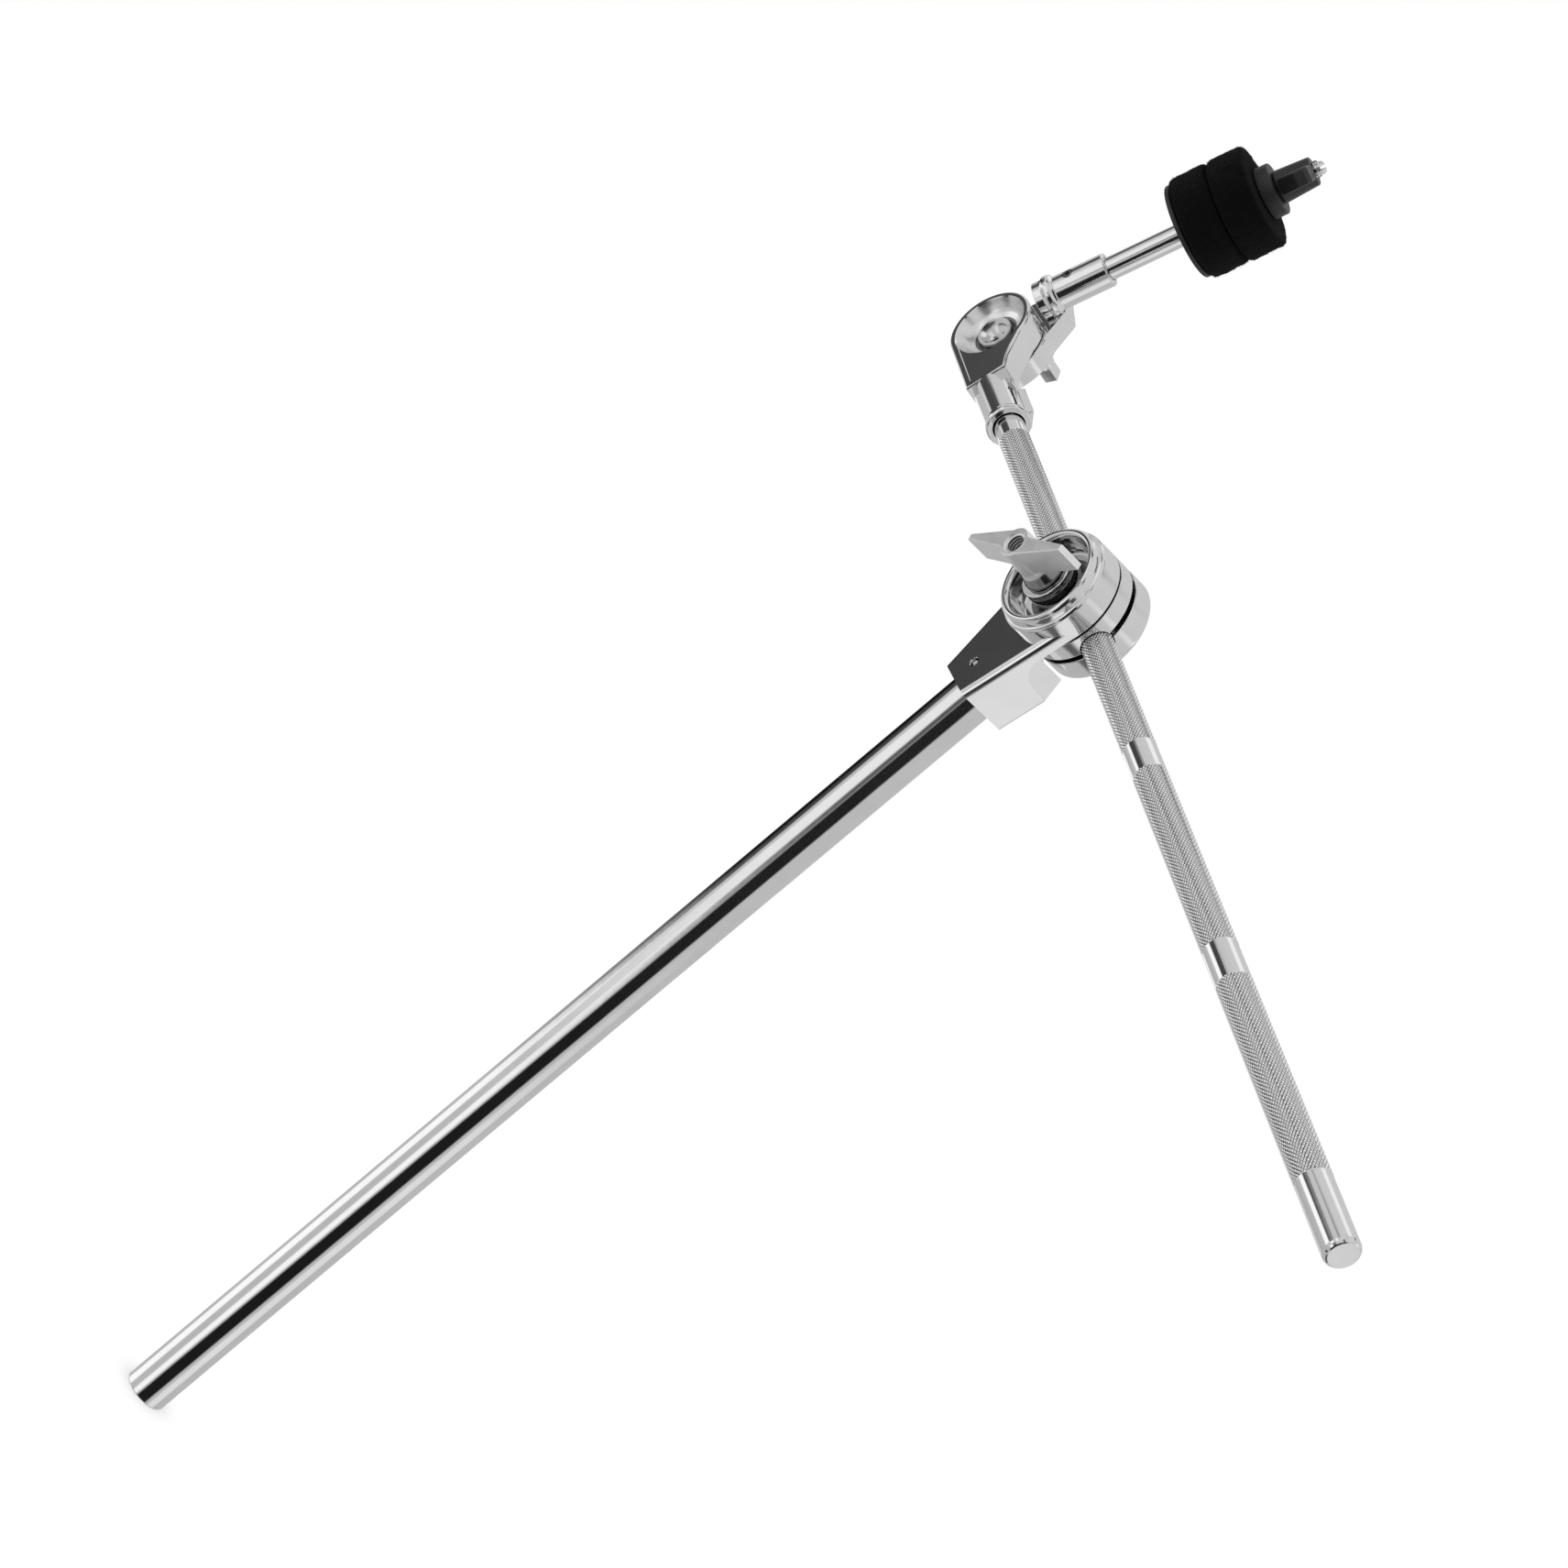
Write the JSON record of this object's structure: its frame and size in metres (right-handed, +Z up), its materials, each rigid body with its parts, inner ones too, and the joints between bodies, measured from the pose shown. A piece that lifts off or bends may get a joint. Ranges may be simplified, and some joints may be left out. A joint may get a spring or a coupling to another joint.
{
  "type": "cymbal boom stand",
  "caption": "Boom cymbal stand top: vertical tube, clamp tilter with wing nut, knurled sliding boom rod, small angle tilter and a threaded rod with felts and wing nut for a cymbal.",
  "frame": {"origin": "centre of the down tube's open foot, where it enters the stand below", "axes": "+Z up along the down tube, +Y along the main tilter's axis towards its rear disc, +X towards the counter end of the boom rod"},
  "size_m": [0.534, 0.0814, 0.6522],
  "materials": {
    "tube_chrome": "mirror chrome plate on drawn steel tube",
    "yoke_chrome": "mirror chrome plate on a smooth casting",
    "pin_steel": "plain steel cross pin",
    "ratchet_chrome": "mirror chrome plate",
    "rear_disc_chrome": "mirror chrome plate",
    "bolt_steel": "plain turned steel",
    "spring_steel": "drawn spring wire",
    "washer_chrome": "mirror chrome plate",
    "cast_zinc": "satin die-cast zinc",
    "boom_chrome": "chromed steel bar, diamond-knurled lengths between plain bands",
    "lower_half_chrome": "mirror chrome plate on a smooth casting",
    "clamp_screw_chrome": "plated steel set screw",
    "pivot_bolt_chrome": "mirror chrome dome",
    "upper_half_chrome": "mirror chrome plate on a smooth casting",
    "washer_steel": "plain steel",
    "lock_nut_steel": "plain steel",
    "tilt_key_chrome": "mirror chrome plate",
    "cymbal_rod_chrome": "bright chromed steel rod with a slotted threaded end",
    "grub_steel": "blackened steel",
    "seat_plastic": "moulded black plastic",
    "sleeve_nylon": "black nylon tube",
    "felt_black": "dense black wool felt",
    "nut_washer_plastic": "moulded black plastic",
    "wing_nut_plastic": "moulded black plastic",
    "insert_brass": "turned brass"
  },
  "bodies": {
    "stand": {"down_tube": "tube_chrome", "tilter_yoke": "yoke_chrome", "yoke_pin": "pin_steel"},
    "tilter_head": {"ratchet_disc": "ratchet_chrome", "rear_clamp_disc": "rear_disc_chrome", "clamp_bolt": "bolt_steel", "release_spring": "spring_steel"},
    "clamp_washer": {"clamp_washer": "washer_chrome"},
    "wing_nut": {"tilt_wing_nut": "cast_zinc"},
    "boom": {"boom_rod": "boom_chrome"},
    "lower_tilter": {"tilter_lower_half": "lower_half_chrome", "pivot_bolt": "pivot_bolt_chrome", "wave_washer": "washer_steel", "lock_nut": "lock_nut_steel"},
    "clamp_screw": {"clamp_screw": "clamp_screw_chrome"},
    "upper_tilter": {"tilter_upper_half": "upper_half_chrome", "cymbal_rod": "cymbal_rod_chrome", "socket_grub": "grub_steel", "seat_washer": "seat_plastic", "cymbal_sleeve": "sleeve_nylon", "lower_felt": "felt_black"},
    "tilt_key_bolt": {"tilt_key_bolt": "tilt_key_chrome"},
    "upper_felt": {"upper_felt": "felt_black"},
    "nut_washer": {"nut_washer": "nut_washer_plastic"},
    "cymbal_nut": {"cymbal_wing_nut": "wing_nut_plastic", "nut_insert": "insert_brass"}
  },
  "joints": [
    {"name": "boom_tilt", "type": "hinge", "parent": "stand", "child": "tilter_head", "pos_m": [0, 0.003, 0.4807], "axis": [0, 1, 0], "range_deg": [-50, 40]},
    {"name": "washer_travel", "type": "slide", "parent": "tilter_head", "child": "clamp_washer", "axis": [0, -1, 0], "range_m": [0, 0.004]},
    {"name": "wing_nut_turn", "type": "hinge", "parent": "clamp_washer", "child": "wing_nut", "pos_m": [0, -0.0306, 0.4807], "axis": [0, -1, 0], "range_deg": [0, 1080]},
    {"name": "boom_slide", "type": "slide", "parent": "tilter_head", "child": "boom", "axis": [0.995, 0, -0.1002], "range_m": [-0.295, 0.1]},
    {"name": "tilter_swivel", "type": "hinge", "parent": "boom", "child": "lower_tilter", "pos_m": [-0.14178, 0.003, 0.49498], "axis": [0.995, 0, -0.1002], "continuous": true},
    {"name": "clamp_screw_turn", "type": "hinge", "parent": "lower_tilter", "child": "clamp_screw", "pos_m": [-0.13959, 0.00942, 0.50179], "axis": [0.0739, 0.6756, 0.7336], "range_deg": [0, 180]},
    {"name": "cymbal_tilt", "type": "hinge", "parent": "lower_tilter", "child": "upper_tilter", "pos_m": [-0.18359, 0.00428, 0.50895], "axis": [-0.0131, 0.9914, -0.1299], "range_deg": [-100, 50]},
    {"name": "tilt_key_turn", "type": "hinge", "parent": "upper_tilter", "child": "tilt_key_bolt", "pos_m": [-0.17791, 0.01875, 0.51647], "axis": [-0.0131, 0.9914, -0.1299], "range_deg": [0, 180]},
    {"name": "upper_felt_travel", "type": "slide", "parent": "upper_tilter", "child": "upper_felt", "axis": [0.2807, 0.1283, 0.9512], "range_m": [0, 0.006]},
    {"name": "nut_washer_travel", "type": "slide", "parent": "upper_tilter", "child": "nut_washer", "axis": [0.2807, 0.1283, 0.9512], "range_m": [0, 0.006]},
    {"name": "cymbal_nut_turn", "type": "hinge", "parent": "nut_washer", "child": "cymbal_nut", "pos_m": [-0.15673, 0.02174, 0.63955], "axis": [0.2807, 0.1283, 0.9512], "range_deg": [0, 1800]}
  ],
  "couplings": [
    {"joint": "washer_travel", "follows": "wing_nut_turn", "m_per_rad": 0.00019894},
    {"joint": "upper_felt_travel", "follows": "cymbal_nut_turn", "m_per_rad": 0.00015915},
    {"joint": "nut_washer_travel", "follows": "cymbal_nut_turn", "m_per_rad": 0.00015915}
  ]
}
